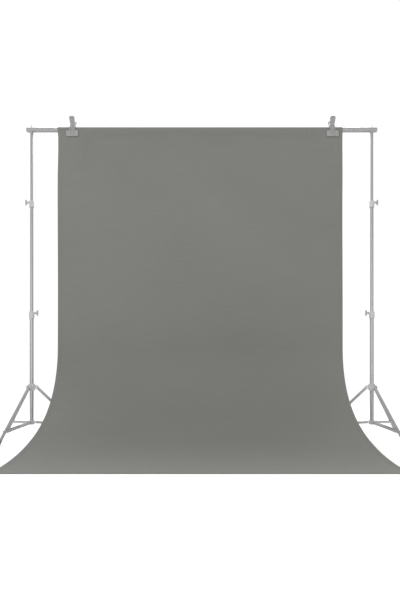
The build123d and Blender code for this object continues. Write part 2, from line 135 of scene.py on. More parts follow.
class FinishColours(bpy.types.PropertyGroup):
    """Base colours of the finishes."""

    cloth: colour("Cloth", "Grey woven cloth", (0.131, 0.133, 0.1220))
    tube: colour("Tube", "Satin lacquer on the tubes", (0.250, 0.250, 0.253))
    plastic: colour("Plastic", "Moulded locks, collars and hubs", (0.340, 0.340, 0.344))
    knob: colour("Knob", "Moulded wing knobs", (0.260, 0.260, 0.264))
    steel: colour("Steel", "Rivets, pins, studs and springs", (0.480, 0.480, 0.475))
    rubber: colour("Rubber", "Feet", (0.115, 0.115, 0.118))
    clamp: colour("Clamp", "Moulded spring clamps", (0.205, 0.207, 0.202))
    floor: colour("Floor", "Plain pale floor", (0.975, 0.975, 0.975))


def sizes():
    """The backdrop's sizes, as the scene holds them."""
    return bpy.context.scene.backdrop_sizes


def colours():
    """The finishes' colours, as the scene holds them."""
    return bpy.context.scene.finish_colours


# ---- materials ---------------------------------------------------------------


class Value:
    """A number in a node tree. Arithmetic on it adds Math nodes."""

    def __init__(self, recipe, socket):
        self.recipe = recipe
        self.socket = socket

    def math(self, operation, first, second=0.0):
        """One Math node on two numbers."""
        return self.recipe.node(
            "ShaderNodeMath", {"operation": operation}, {0: first, 1: second}
        )

    def __add__(self, other):
        return self.math("ADD", self, other)

    __radd__ = __add__

    def __sub__(self, other):
        return self.math("SUBTRACT", self, other)

    def __rsub__(self, other):
        return self.math("SUBTRACT", other, self)

    def __mul__(self, other):
        return self.math("MULTIPLY", self, other)

    __rmul__ = __mul__

    def sine(self):
        """The sine of this number, in radians."""
        return self.math("SINE", self)


class Recipe:
    """A material with one Principled shader, and the nodes that feed it."""

    def __init__(self, name, **fixed):
        self.material = bpy.data.materials.new(name)
        self.material.use_nodes = True
        self.tree = self.material.node_tree
        self.tree.nodes.clear()
        output = self.tree.nodes.new("ShaderNodeOutputMaterial")
        self.shader = self.tree.nodes.new("ShaderNodeBsdfPrincipled")
        self.tree.links.new(self.shader.outputs[0], output.inputs["Surface"])
        for socket, value in fixed.items():
            self.shader.inputs[socket.replace("_", " ").title()].default_value = value

    def fill(self, socket, value):
        """Link a Value to a socket, or set the socket's own number or colour."""
        if isinstance(value, Value):
            self.tree.links.new(value.socket, socket)
        elif hasattr(value, "__len__") and len(value) == 3 and len(socket.default_value) == 4:
            socket.default_value = (*value, 1.0)
        else:
            socket.default_value = value

    def node(self, kind, settings=None, inputs=None, output=0):
        """Any node: its settings first, then the values or links of its sockets."""
        made = self.tree.nodes.new(kind)
        for key, value in (settings or {}).items():
            setattr(made, key, value)
        for key, value in (inputs or {}).items():
            self.fill(made.inputs[key], value)
        return Value(self, made.outputs[output])

    def feed(self, socket, value):
        """What varies over the surface, into one of the shader's sockets."""
        self.fill(self.shader.inputs[socket], value)

    def place(self):
        """The point's place on the object, in metres."""
        return self.node("ShaderNodeTexCoord", output=3)

    def split(self, vector):
        """The three parts of a vector."""
        first = self.node("ShaderNodeSeparateXYZ", inputs={0: vector})
        outputs = first.socket.node.outputs
        return [Value(self, outputs[index]) for index in range(3)]

    def join(self, x, y, z):
        """A vector from three numbers."""
        return self.node("ShaderNodeCombineXYZ", inputs={0: x, 1: y, 2: z})

    def noise(self, vector, scale, detail=3.0, rough=0.55):
        """Soft noise, from 0 to 1."""
        return self.node(
            "ShaderNodeTexNoise",
            inputs={"Vector": vector, "Scale": scale, "Detail": detail, "Roughness": rough},
        )

    def shade(self, share, low, high):
        """A colour between two, by a share from 0 to 1."""
        return self.node(
            "ShaderNodeMix",
            {"data_type": "RGBA"},
            {0: share, 6: (*low, 1.0), 7: (*high, 1.0)},
            output=2,
        )

    def bump(self, height, strength, distance):
        """A bump from a height, into the shader's normal."""
        self.feed(
            "Normal",
            self.node(
                "ShaderNodeBump",
                inputs={"Strength": strength, "Distance": distance, "Height": height},
            ),
        )


def times(shade, factor):
    """A colour made lighter or darker by a factor."""
    return tuple(min(1.0, channel * factor) for channel in shade)


def cloth_material():
    """Matt woven cloth: a plain weave, horizontal slubs and soft patches of shade."""
    recipe = Recipe("grey_woven_cloth", roughness=0.93, sheen_weight=0.12, sheen_roughness=0.6)
    recipe.shader.inputs["Specular IOR Level"].default_value = 0.18
    place = recipe.place()
    x, y, z = recipe.split(place)
    down = y + z
    slub = recipe.noise(recipe.join(x * 5.0, down * 260.0, 0.0), 1.0, 4.0, 0.65)
    warp = recipe.noise(recipe.join(x * 300.0, down * 4.0, 3.0), 1.0, 3.0, 0.6)
    patch = recipe.noise(recipe.join(x * 1.6, down * 2.2, 7.0), 1.0, 2.0, 0.5)
    tone = 0.55 * slub + 0.20 * warp + 0.25 * patch
    grey = tuple(colours().cloth)
    share = recipe.node(
        "ShaderNodeMapRange", inputs={0: tone, 1: 0.36, 2: 0.64, 3: 0.0, 4: 1.0}
    )
    recipe.feed("Base Color", recipe.shade(share, times(grey, 0.93), times(grey, 1.07)))
    thread = 2.0 * math.pi / 0.0011
    weave = (x * thread).sine() * (down * thread).sine()
    recipe.bump(0.5 * weave + 1.6 * slub + 0.5 * warp, 0.35, 0.0004)
    return recipe.material


def thread_material():
    """Sewing thread, a little lighter than the cloth."""
    recipe = Recipe("sewing_thread", roughness=0.7)
    grain = recipe.noise(recipe.place(), 900.0)
    grey = tuple(colours().cloth)
    recipe.feed("Base Color", recipe.shade(grain, times(grey, 0.95), times(grey, 1.35)))
    recipe.bump(grain, 0.4, 0.0002)
    return recipe.material


def lacquer_material(name, shade, roughness, metallic):
    """Satin lacquer on metal: faint draw lines along the length and light rubbing."""
    recipe = Recipe(name, metallic=metallic, coat_weight=0.25, coat_roughness=0.22)
    place = recipe.place()
    x, y, z = recipe.split(place)
    lines = recipe.noise(recipe.join(x * 900.0, y * 900.0, z * 6.0), 1.0, 3.0)
    rubbed = recipe.noise(recipe.join(x * 60.0, y * 60.0, z * 18.0), 1.0, 5.0, 0.7)
    wear = recipe.node(
        "ShaderNodeMapRange", inputs={0: rubbed, 1: 0.58, 2: 0.75, 3: 0.0, 4: 1.0}
    )
    share = 0.7 * lines + 0.4 * wear
    recipe.feed("Base Color", recipe.shade(share, times(shade, 0.90), times(shade, 1.18)))
    recipe.feed("Roughness", roughness + 0.10 * lines - 0.08 * wear)
    recipe.bump(lines, 0.12, 0.0001)
    return recipe.material


def moulded_material(name, shade, roughness=0.5, grain_scale=1600.0):
    """Moulded plastic with a spark-eroded grain and faint flow marks."""
    recipe = Recipe(name)
    place = recipe.place()
    grain = recipe.noise(place, grain_scale, 2.0)
    flow = recipe.noise(place, 45.0, 3.0)
    share = 0.5 * flow + 0.3 * grain
    recipe.feed("Base Color", recipe.shade(share, times(shade, 0.88), times(shade, 1.16)))
    recipe.feed("Roughness", roughness + 0.16 * (flow - 0.5) + 0.08 * grain)
    recipe.bump(grain, 0.35, 0.0002)
    return recipe.material


def steel_material():
    """Plain turned steel with fine rings."""
    recipe = Recipe("turned_steel", metallic=1.0)
    place = recipe.place()
    fine = recipe.noise(place, 2400.0, 2.0)
    broad = recipe.noise(place, 130.0, 3.0)
    shade = tuple(colours().steel)
    recipe.feed("Base Color", recipe.shade(broad, times(shade, 0.85), times(shade, 1.2)))
    recipe.feed("Roughness", 0.28 + 0.14 * broad + 0.05 * fine)
    recipe.bump(fine, 0.15, 0.0001)
    return recipe.material


def rubber_material():
    """Dull rubber, paler where it is scuffed by the floor."""
    recipe = Recipe("soft_rubber")
    place = recipe.place()
    grain = recipe.noise(place, 1100.0, 3.0)
    low = recipe.split(place)[2]
    dust = recipe.node("ShaderNodeMapRange", inputs={0: low, 1: 0.0, 2: 0.015, 3: 0.7, 4: 0.0})
    shade = tuple(colours().rubber)
    recipe.feed("Base Color", recipe.shade(dust * grain + 0.3 * grain, shade, times(shade, 2.4)))
    recipe.feed("Roughness", 0.72 + 0.2 * grain)
    recipe.bump(grain, 0.4, 0.0003)
    return recipe.material


MATERIALS = {}


class SUPPORT_OT_finishes(bpy.types.Operator):
    """Make every finish and put it on the CAD nodes that stay"""

    bl_idname = "support.finishes"
    bl_label = "Finishes"

    def execute(self, context):
        tones = colours()
        strip = times(tuple(tones.tube), 1.05)
        MATERIALS.update(
            {
                "cloth": cloth_material(),
                "thread": thread_material(),
                "tube": lacquer_material("satin_lacquer", tuple(tones.tube), 0.34, 0.55),
                "brace": lacquer_material("pressed_strip_lacquer", strip, 0.40, 0.50),
                "collar": moulded_material("moulded_collar", tuple(tones.plastic)),
                "knob": moulded_material("moulded_knob", tuple(tones.knob), 0.42),
                "clamp": moulded_material("moulded_clamp", tuple(tones.clamp), 0.44, 1300.0),
                "steel": steel_material(),
                "foot": rubber_material(),
            }
        )
        slots = {row["node"]: row["material_slot"] for row in frame["record"]["subparts"]}
        for node, shown in frame["nodes"].items():
            shown.data.materials.clear()
            shown.data.materials.append(MATERIALS[slots[node]])
        return {"FINISHED"}


# ---- mesh helpers --------------------------------------------------------------


def new_piece(name, mesh, material, smooth=True):
    """A shown object from a mesh, with its finish."""
    made = bpy.data.objects.new(name, mesh)
    bpy.context.scene.collection.objects.link(made)
    made.data.materials.append(MATERIALS[material])
    if smooth:
        made.data.shade_smooth()
    return made


def mesh_from(name, vertices, faces):
    """A mesh with its faces all turned outward."""
    mesh = bpy.data.meshes.new(name)
    mesh.from_pydata(vertices, [], faces)
    work = bmesh.new()
    work.from_mesh(mesh)
    bmesh.ops.recalc_face_normals(work, faces=work.faces)
    work.to_mesh(mesh)
    work.free()
    return mesh


def smooth_step(low, high, value):
    """0 below low, 1 above high, and smooth in between."""
    share = min(1.0, max(0.0, (value - low) / (high - low)))
    return share * share * (3.0 - 2.0 * share)


# ---- the cloth -------------------------------------------------------------------


def cloth_path():
    """The cloth's side view from the rear hem to the front edge: (forward of the bar, height)."""
    cut = sizes()
    half = cut.thickness / 2
    lying = half * HEM_SWELL
    face = BAR_RADIUS + 0.0002 + half
    flap_rows, wrap_rows, rows, bends, floor_rows = 8, 18, 104, 84, 5
    points = [(-face, REAR_HEM + FLAP_DROP * step / flap_rows) for step in range(flap_rows)]
    turns = [math.pi * step / wrap_rows for step in range(wrap_rows + 1)]
    points += [(-face * math.cos(turn), BAR.z + face * math.sin(turn)) for turn in turns]
    fall = BAR.z - cut.sweep_height
    points += [(face, BAR.z - fall * step / rows) for step in range(1, rows)]
    a = Vector((face, cut.sweep_height))
    b = Vector((face, cut.sweep_upper_pull))
    c = Vector((BAR_RADIUS + cut.sweep_lower_pull, lying))
    d = Vector((BAR_RADIUS + cut.sweep_flat, lying))
    for step in range(bends + 1):
        t = step / bends
        s = 1.0 - t
        point = a * s**3 + b * 3 * s * s * t + c * 3 * s * t * t + d * t**3
        points.append((point.x, point.y))
    front = BAR.y - CLOTH_LOW.y
    reach = front - d.x
    points += [(d.x + reach * step / floor_rows, lying) for step in range(1, floor_rows + 1)]
    return points


def relief(x, forward, height, along):
    """How far the cloth stands off its plain shape, along its outward normal."""
    cut = sizes()
    if forward < 0:
        return 0.0
    below = BAR.z - height
    ground = smooth_step(0.03, 0.30, height)
    hanging = smooth_step(0.10, 0.45, below) * ground
    slow = noise.noise(Vector((x * 1.7, height * 0.55, 3.1)))
    folds = 0.55 * math.sin(x * 7.1 + 1.3 * slow) + 0.45 * math.sin(x * 12.7 + 2.0 + 1.7 * slow)
    soft = noise.noise(Vector((x * 3.4, along * 2.1, 9.7)))
    edge = min(x - CLOTH_LOW.x, CLOTH_HIGH.x - x)
    curl = (1.0 - smooth_step(0.0, 0.07, edge)) * math.sin(along * 4.6 + (2.0 if x > BAR.x else 0.0))
    near_clamp = max(1.0 - smooth_step(0.035, 0.11, abs(x - place)) for place in CLAMP_PLACES)
    under = smooth_step(0.006, 0.050, below) * (1.0 - smooth_step(0.10, 0.30, below))
    return (
        cut.ripple * hanging * (0.55 * folds + 0.6 * soft + 0.8 * curl)
        - cut.tuck * under * (1.0 - near_clamp)
    )


class ClothSheet:
    """The cloth as a grid: columns across it, rows along its length."""

    def __init__(self):
        self.path = cloth_path()
        self.lengths = [0.0]
        for (u0, z0), (u1, z1) in zip(self.path, self.path[1:]):
            self.lengths.append(self.lengths[-1] + math.hypot(u1 - u0, z1 - z0))
        self.normals = []
        last = len(self.path) - 1
        for row in range(len(self.path)):
            before, after = self.path[max(0, row - 1)], self.path[min(last, row + 1)]
            run = Vector((after[0] - before[0], after[1] - before[1])).normalized()
            self.normals.append((-run.y, run.x))
        hem = sizes().hem_width
        inside = 132
        low, high = CLOTH_LOW.x, CLOTH_HIGH.x
        step = (high - low - 2 * hem) / inside
        self.columns = [low, low + 0.6 * hem, low + hem * 0.97]
        self.columns += [low + hem + step * index for index in range(inside + 1)]
        self.columns += [high - hem * 0.97, high - 0.6 * hem, high]

    def split_row(self):
        """The row of the front face that is nearest to the split height."""
        rows = [r for r, (u, z) in enumerate(self.path) if u > 0]
        return min(rows, key=lambda r: abs(self.path[r][1] - sizes().split_height))

    def thickness(self, x, along):
        """Half the cloth's thickness: doubled on the sewn hems."""
        cut = sizes()
        edge = min(x - CLOTH_LOW.x, CLOTH_HIGH.x - x, along, self.lengths[-1] - along)
        folded = 1.0 - smooth_step(cut.hem_width * 0.9, cut.hem_width * 1.02, edge)
        return cut.thickness / 2 * (1.0 + (HEM_SWELL - 1.0) * folded)

    def point(self, x, row, lift=0.0):
        """A point of the cloth's middle surface, lifted along the outward normal."""
        forward, height = self.path[row]
        out = self.normals[row]
        lift += relief(x, forward, height, self.lengths[row])
        return Vector((x, BAR.y - forward - out[0] * lift, height + out[1] * lift))

    def at(self, x, along, lift):
        """The same, at any length along the cloth."""
        row = max(0, min(len(self.path) - 2, bisect.bisect_right(self.lengths, along) - 1))
        span = self.lengths[row + 1] - self.lengths[row]
        share = min(1.0, max(0.0, (along - self.lengths[row]) / span))
        return self.point(x, row, lift).lerp(self.point(x, row + 1, lift), share)

    def piece(self, name, first, last):
        """A closed sheet from one row to another."""
        rows = range(first, last + 1)
        wide = len(self.columns)
        vertices = []
        for sign in (1, -1):
            for row in rows:
                for x in self.columns:
                    half = self.thickness(x, self.lengths[row])
                    vertices.append(self.point(x, row, sign * half))
        layer = len(rows) * wide

        def corner(side, row, column):
            return side * layer + row * wide + column

        faces = []
        for row in range(len(rows) - 1):
            for column in range(wide - 1):
                quad = [
                    corner(0, row, column),
                    corner(0, row, column + 1),
                    corner(0, row + 1, column + 1),
                    corner(0, row + 1, column),
                ]
                faces.append(quad)
                faces.append([index + layer for index in reversed(quad)])
        for row in range(len(rows) - 1):
            for column in (0, wide - 1):
                faces.append(
                    [
                        corner(0, row, column),
                        corner(0, row + 1, column),
                        corner(1, row + 1, column),
                        corner(1, row, column),
                    ]
                )
        for row in (0, len(rows) - 1):
            for column in range(wide - 1):
                faces.append(
                    [
                        corner(0, row, column),
                        corner(0, row, column + 1),
                        corner(1, row, column + 1),
                        corner(1, row, column),
                    ]
                )
        mesh = mesh_from(name, vertices, faces)
        made = new_piece(name, mesh, "cloth")
        made.data.set_sharp_from_angle(angle=math.radians(50))
        return made


def add_stitch(vertices, faces, start, end, out):
    """A short thread from start to end, as a low six-sided ridge."""
    run = (end - start).normalized()
    across = run.cross(out).normalized()
    wide, tall = 0.00055, 0.0004
    base = len(vertices)
    ring = ((-wide, 0.0), (-wide * 0.5, tall), (wide * 0.5, tall), (wide, 0.0))
    for centre, swell in ((start, 0.35), (start.lerp(end, 0.5), 1.0), (end, 0.35)):
        vertices.extend(centre + across * (a * swell) + out * (b * swell - 0.0002) for a, b in ring)
    for part in (0, 4):
        for index in range(4):
            following = (index + 1) % 4
            near, far = base + part, base + part + 4
            faces.append([near + index, near + following, far + following, far + index])
    faces.append([base, base + 1, base + 2, base + 3])
    faces.append([base + 11, base + 10, base + 9, base + 8])


def stitch_rows(cloth, name, first, last, ends):
    """The lines of stitches along the side hems, and across the sheet at its ends."""
    cut = sizes()
    inset = cut.hem_width * STITCH_INSET
    vertices, faces = [], []
    start, stop = cloth.lengths[first], cloth.lengths[last]

    def sew(from_x, from_along, to_x, to_along):
        length = math.hypot(to_x - from_x, to_along - from_along)
        count = int(length / cut.stitch_pitch)
        for index in range(count):
            marks = ((index + 0.15) / count, (index + 0.80) / count)
            pair = []
            for mark in marks:
                x = from_x + (to_x - from_x) * mark
                along = from_along + (to_along - from_along) * mark
                lift = cloth.thickness(x, along)
                pair.append((cloth.at(x, along, lift), cloth.at(x, along, lift + 0.001)))
            out = (pair[0][1] - pair[0][0]).normalized()
            add_stitch(vertices, faces, pair[0][0], pair[1][0], out)

    for x in (CLOTH_LOW.x + inset, CLOTH_HIGH.x - inset):
        sew(x, max(start, inset), x, min(stop, cloth.lengths[-1] - inset))
    for along in ends:
        sew(CLOTH_LOW.x + inset, along, CLOTH_HIGH.x - inset, along)
    return new_piece(name, mesh_from(name, vertices, faces), "thread")


class SUPPORT_OT_backdrop(bpy.types.Operator):
    """Hang the cloth: an upper and a lower piece that meet on one line, with sewn hems"""

    bl_idname = "support.backdrop"
    bl_label = "Backdrop"

    def execute(self, context):
        cut = sizes()
        cloth = ClothSheet()
        last = len(cloth.path) - 1
        split = cloth.split_row()
        inset = cut.hem_width * STITCH_INSET
        upper = cloth.piece("backdrop_upper", 0, split)
        lower = cloth.piece("backdrop_lower", split, last)
        upper_thread = stitch_rows(cloth, "backdrop_upper_stitches", 0, split, [inset])
        lower_thread = stitch_rows(
            cloth, "backdrop_lower_stitches", split, last, [cloth.lengths[-1] - inset]
        )
        for piece in (upper, upper_thread):
            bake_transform(piece)
            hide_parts(*CLOTH_NODES)
        for piece in (lower, lower_thread):
            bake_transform(piece)
            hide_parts(*CLOTH_NODES)
        return {"FINISHED"}


# ---- small hard pieces -------------------------------------------------------------


class Solid:
    """Closed forms gathered into one mesh."""

    def __init__(self):
        self.vertices = []
        self.faces = []

    def loft(self, rings):
        """Rings of equal count joined one to the next, and closed at both ends."""
        base, count = len(self.vertices), len(rings[0])
        for ring in rings:
            self.vertices.extend(ring)
        for level in range(len(rings) - 1):
            low = base + level * count
            for index in range(count):
                following = (index + 1) % count
                self.faces.append(
                    [low + index, low + following, low + count + following, low + count + index]
                )
        self.faces.append([base + index for index in range(count)])
        top = base + (len(rings) - 1) * count
        self.faces.append([top + index for index in reversed(range(count))])

    def turned(self, origin, axis, outline, sides=32):
        """A lathe form: the outline gives (distance along the axis, radius)."""
        axis = axis.normalized()
        first = axis.orthogonal().normalized()
        second = axis.cross(first)
        rings = []
        for along, radius in outline:
            centre = origin + axis * along
            rings.append(
                [
                    centre + (first * math.cos(turn) + second * math.sin(turn)) * radius
                    for turn in (2 * math.pi * index / sides for index in range(sides))
                ]
            )
        self.loft(rings)

    def strap(self, stations, softness=0.35, sides=24):
        """A flat bar through stations of (centre, across, out, half width, half thickness)."""
        rings = []
        for centre, across, out, wide, thick in stations:
            ring = []
            for index in range(sides):
                turn = 2 * math.pi * (index + 0.5) / sides
                a, b = math.cos(turn), math.sin(turn)
                ring.append(
                    centre
                    + across * (wide * math.copysign(abs(a) ** softness, a))
                    + out * (thick * math.copysign(abs(b) ** softness, b))
                )
            rings.append(ring)
        self.loft(rings)

    def wire(self, points, radius, sides=10):
        """A round wire through points."""
        rings = []
        side = None
        for index, point in enumerate(points):
            run = (points[min(index + 1, len(points) - 1)] - points[max(index - 1, 0)]).normalized()
            side = run.orthogonal() if side is None else side - run * side.dot(run)
            side.normalize()
            other = run.cross(side)
            rings.append(
                [
                    point + (side * math.cos(turn) + other * math.sin(turn)) * radius
                    for turn in (2 * math.pi * k / sides for k in range(sides))
                ]
            )
        self.loft(rings)

    def piece(self, name, material, slot, angle=38.0):
        """The finished object, smooth except at its hard edges."""
        made = new_piece(name, mesh_from(name, self.vertices, self.faces), material)
        made.data.set_sharp_from_angle(angle=math.radians(angle))
        return made


def stand_in(piece, node):
    """The piece rides with a CAD node's body and is shown in its place."""
    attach(piece, BODY_OF[node])
    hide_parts(node)


def rounded(length, radius, edge, steps=5):
    """A lathe outline of a plain cylinder with rounded rims."""
    turns = [math.pi / 2 * step / steps for step in range(steps + 1)]
    start = [(edge - edge * math.cos(t), radius - edge + edge * math.sin(t)) for t in turns]
    stop = [(length - along, size) for along, size in reversed(start)]
    return start + stop


MM = 0.001
# The clamps, measured from the bar's axis: up, and away from it on either side.
JAW_PLATE = 3.0 * MM
JAW_WAIST = 8.0 * MM
JAW_GRIP = 15.4 * MM
PIVOT_UP = 24.0 * MM
HANDLE_TOP = 66.0 * MM
HANDLE_REACH = 31.0 * MM
HANDLE_HALF = 16.0 * MM
PAD_TOP = -12.0 * MM
PAD_FOOT = -44.0 * MM
PAD_HALF = 34.0 * MM
PAD_DEPTH = 5.0 * MM
EAR_THICK = 2.0 * MM
EAR_RADIUS = 6.4 * MM
EAR_START = {"front": 11.0 * MM, "rear": 8.7 * MM}
COIL_HALF = 8.0 * MM
COIL_RADIUS = 4.0 * MM
COIL_WIRE = 0.75 * MM
RIB_RADIUS = 0.75 * MM


def smooth_line(points, steps):
    """A smooth line through points (Catmull-Rom)."""
    ends = [points[0] * 2 - points[1], *points, points[-1] * 2 - points[-2]]
    line = []
    for index in range(1, len(ends) - 2):
        a, b, c, d = ends[index - 1 : index + 3]
        for step in range(steps):
            t = step / steps
            square = 2 * a - 5 * b + 4 * c - d
            cube = 3 * b - a - 3 * c + d
            line.append(0.5 * (2 * b + (c - a) * t + square * t * t + cube * t**3))
    return [*line, points[-1]]


def clamp_jaw(side, half):
    """One half of a spring clamp: handle, elbow round the bar, pivot ears and a wide pad."""
    facing = 1 if half == "front" else -1
    centre_x = middle(f"{side}_clamp_front_jaw").x
    along_bar = Vector((1, 0, 0))

    def spot(u, v, x=0.0):
        return Vector((centre_x + x, BAR.y - facing * u, BAR.z + v))

    inner = JAW_PLATE / 2
    route = [
        Vector((HANDLE_REACH - inner, HANDLE_TOP - 0.4 * MM)),
        Vector((HANDLE_REACH - inner - 6.5 * MM, HANDLE_TOP - 11 * MM)),
        Vector((JAW_WAIST + inner + 5.5 * MM, PIVOT_UP + 14 * MM)),
        Vector((JAW_WAIST + inner + 0.4 * MM, PIVOT_UP + 4 * MM)),
        Vector((JAW_WAIST + inner + 1.4 * MM, PIVOT_UP - 5 * MM)),
        Vector((JAW_GRIP + inner - 0.4 * MM, 10 * MM)),
        Vector((JAW_GRIP + inner + 0.1 * MM, 0.0)),
        Vector((JAW_GRIP + inner + 0.1 * MM, PAD_TOP - 6 * MM)),
        Vector((JAW_GRIP + inner + 0.1 * MM, PAD_FOOT + 6 * MM)),
    ]
    line = smooth_line(route, 6)
    form = Solid()
    stations = []
    total = len(line) - 1
    for index, point in enumerate(line):
        run = (line[min(index + 1, total)] - line[max(index - 1, 0)]).normalized()
        out = Vector((0, facing * run.y, run.x))
        share = index / total
        end = min(1.0, 0.35 + 0.65 * math.sqrt(min(1.0, index / 4)))
        wide = HANDLE_HALF * end * (1.0 - 0.16 * math.sin(math.pi * min(1.0, share / 0.72)) ** 2)
        thick = inner * (0.55 if index in (0, total) else 1.0)
        stations.append((spot(point.x, point.y), along_bar, out, wide, thick))
    form.strap(stations)
    # Grip ribs across the outside of the handle.
    for index in range(3, 12, 2):
        centre, across, out, wide, thick = stations[index]
        away = out if out.dot(Vector((0, -facing, 0))) > 0 else -out
        seat = centre + away * thick * 0.9
        reach = wide * 0.80
        form.wire([seat + across * reach * share for share in (-1.0, -0.9, 0.9, 1.0)], RIB_RADIUS)
    # The pad, thick and wide with soft corners.
    depth = PAD_DEPTH / 2
    rows = []
    steps = 14
    for step in range(steps + 1):
        share = step / steps
        v = PAD_TOP + (PAD_FOOT - PAD_TOP) * share
        corner = min(share, 1 - share) * (PAD_TOP - PAD_FOOT)
        soft = 5.0 * MM
        pull = soft - math.sqrt(max(0.0, soft**2 - max(0.0, soft - corner) ** 2))
        rim = 0.75 if step in (0, steps) else 1.0
        rows.append(
            (spot(JAW_GRIP + depth, v), along_bar, Vector((0, -facing, 0)), PAD_HALF - pull, depth * rim)
        )
    form.strap(rows, softness=0.22, sides=32)
    # Two raised ribs down the pad's back, in line with the handle.
    away = Vector((0, -facing, 0))
    ends = ((6 * MM, 0.6 * MM), (-4 * MM, 2.0 * MM), (-34 * MM, 2.0 * MM), (-41 * MM, 0.6 * MM))
    for x in (-8 * MM, 8 * MM):
        form.strap(
            [
                (spot(JAW_GRIP + JAW_PLATE + 2.2 * MM, v, x), along_bar, away, 1.2 * MM, thick)
                for v, thick in ends
            ],
            softness=0.6,
            sides=12,
        )
    start = EAR_START[half]
    for sign in (1, -1):
        origin = spot(0, PIVOT_UP, sign * start)
        form.turned(origin, along_bar * sign, rounded(EAR_THICK, EAR_RADIUS, 0.5 * MM, 3))
        arm = EAR_THICK / 2
        x = sign * (start + arm)
        form.strap(
            [
                (spot(u, PIVOT_UP + lift, x), along_bar, Vector((0, 0, 1)), arm, tall)
                for u, lift, tall in (
                    (0.5 * MM, 0.0, EAR_RADIUS * 0.97),
                    (JAW_WAIST * 0.6, 0.0, EAR_RADIUS * 0.92),
                    (JAW_WAIST + JAW_PLATE * 0.6, 0.6 * MM, EAR_RADIUS * 0.85),
                )
            ],
            softness=0.3,
            sides=16,
        )
    node = f"{side}_clamp_{half}_jaw"
    stand_in(form.piece(f"{side}_clamp_{half}_half", "clamp", "clamp"), node)


def clamp_spring(side):
    """A wound wire on the pin, with one leg against each handle."""
    centre_x = middle(f"{side}_clamp_front_jaw").x
    turns, steps = 10, 20
    coil = Solid()
    points = []
    for index in range(turns * steps + 1):
        turn = 2 * math.pi * index / steps
        points.append(
            Vector(
                (
                    centre_x - COIL_HALF + COIL_WIRE + 2 * (COIL_HALF - COIL_WIRE) * index / (turns * steps),
                    BAR.y - COIL_RADIUS * math.cos(turn),
                    BAR.z + PIVOT_UP + COIL_RADIUS * math.sin(turn),
                )
            )
        )

    def leg(x, facing):
        """A leg that leaves the coil upward and lies along the inside of a handle."""
        return [
            Vector((x, BAR.y - facing * COIL_RADIUS, BAR.z + PIVOT_UP)),
            Vector((x, BAR.y - facing * (COIL_RADIUS + 0.7 * MM), BAR.z + PIVOT_UP + 5 * MM)),
            Vector((x, BAR.y - facing * (JAW_WAIST + 3.2 * MM), BAR.z + PIVOT_UP + 14 * MM)),
            Vector((x, BAR.y - facing * (JAW_WAIST + 9.8 * MM), BAR.z + PIVOT_UP + 24 * MM)),
        ]

    coil.wire(points, COIL_WIRE)
    coil.wire(smooth_line(leg(centre_x + COIL_HALF - COIL_WIRE, 1), 5), COIL_WIRE)
    spring = coil.piece(f"{side}_clamp_coil", "steel", "steel", 60.0)
    stand_in(spring, "clamp_springs")
    rear = Solid()
    rear.wire(smooth_line(leg(centre_x - COIL_HALF + COIL_WIRE, -1), 5), COIL_WIRE)
    rear_leg = rear.piece(f"{side}_clamp_coil_rear_leg", "steel", "steel", 60.0)
    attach(rear_leg, f"{side}_clamp_rear")


class SUPPORT_OT_clamps(bpy.types.Operator):
    """Make the two spring clamps that hold the cloth on the bar"""

    bl_idname = "support.clamps"
    bl_label = "Spring clamps"

    def execute(self, context):
        for side in SIDES:
            for half in ("front", "rear"):
                clamp_jaw(side, half)
            clamp_spring(side)
        return {"FINISHED"}


def wing_knob(side, level):
    """A wing knob: turned hub, two swept wings and a steel stem."""
    node = f"{side}_{level}_knob"
    joint = next(j for j in frame["joints"] if j["name"] == f"{side}_{level}_knob_turn")
    axis = Vector(joint["axis"]).normalized()
    low, high = (Vector(corner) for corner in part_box(node))
    pivot = Vector(joint["pos_m"])
    far = high.x if axis.x > 0 else low.x
    near = low.x if axis.x > 0 else high.x
    out_far = abs(far - pivot.x)
    out_near = abs(near - pivot.x)
    span = (high.z - low.z) / 2
    hub_start = out_far - 13.2 * MM
    form = Solid()
    hub = [(hub_start + along, size) for along, size in rounded(12.0 * MM, 6.0 * MM, 1.2 * MM)]
    form.turned(pivot, axis, hub, 40)
    upright = Vector((0, 0, 1))
    flat = axis.cross(upright)
    for sign in (1, -1):
        stations = []
        for share, depth, place, thick in (
            (0.10, 4.4, 6.0, 2.3),
            (0.34, 4.9, 6.3, 2.1),
            (0.58, 5.3, 6.9, 1.9),
            (0.78, 5.0, 7.6, 1.8),
            (0.90, 4.1, 8.0, 1.6),
            (0.97, 2.8, 8.1, 1.3),
            (0.995, 1.0, 8.1, 0.6),
        ):
            centre = pivot + axis * (hub_start + place * MM) + upright * (sign * span * share)
            stations.append((centre, axis, flat, depth * MM, thick * MM))
        form.strap(stations, softness=0.55, sides=20)
    knob = form.piece(f"{node}_grip", "knob", "knob", 50.0)
    stand_in(knob, node)
    stem = Solid()
    pitch = 1.0 * MM
    length = hub_start + 2 * MM - out_near
    outline = [(out_near, 2.2 * MM)]
    for turn in range(int(length / pitch)):
        outline.append((out_near + (turn + 0.3) * pitch, 2.9 * MM))
        outline.append((out_near + (turn + 0.8) * pitch, 2.5 * MM))
    outline.append((out_near + length, 2.5 * MM))
    stem.turned(pivot, axis, outline, 20)
    threaded = stem.piece(f"{node}_stem", "steel", "steel", 60.0)
    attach(threaded, BODY_OF[node])


class SUPPORT_OT_knobs(bpy.types.Operator):
    """Make the four wing knobs and their threaded stems"""

    bl_idname = "support.knobs"
    bl_label = "Wing knobs"

    def execute(self, context):
        for side in SIDES:
            for level in ("lower", "upper"):
                wing_knob(side, level)
        return {"FINISHED"}


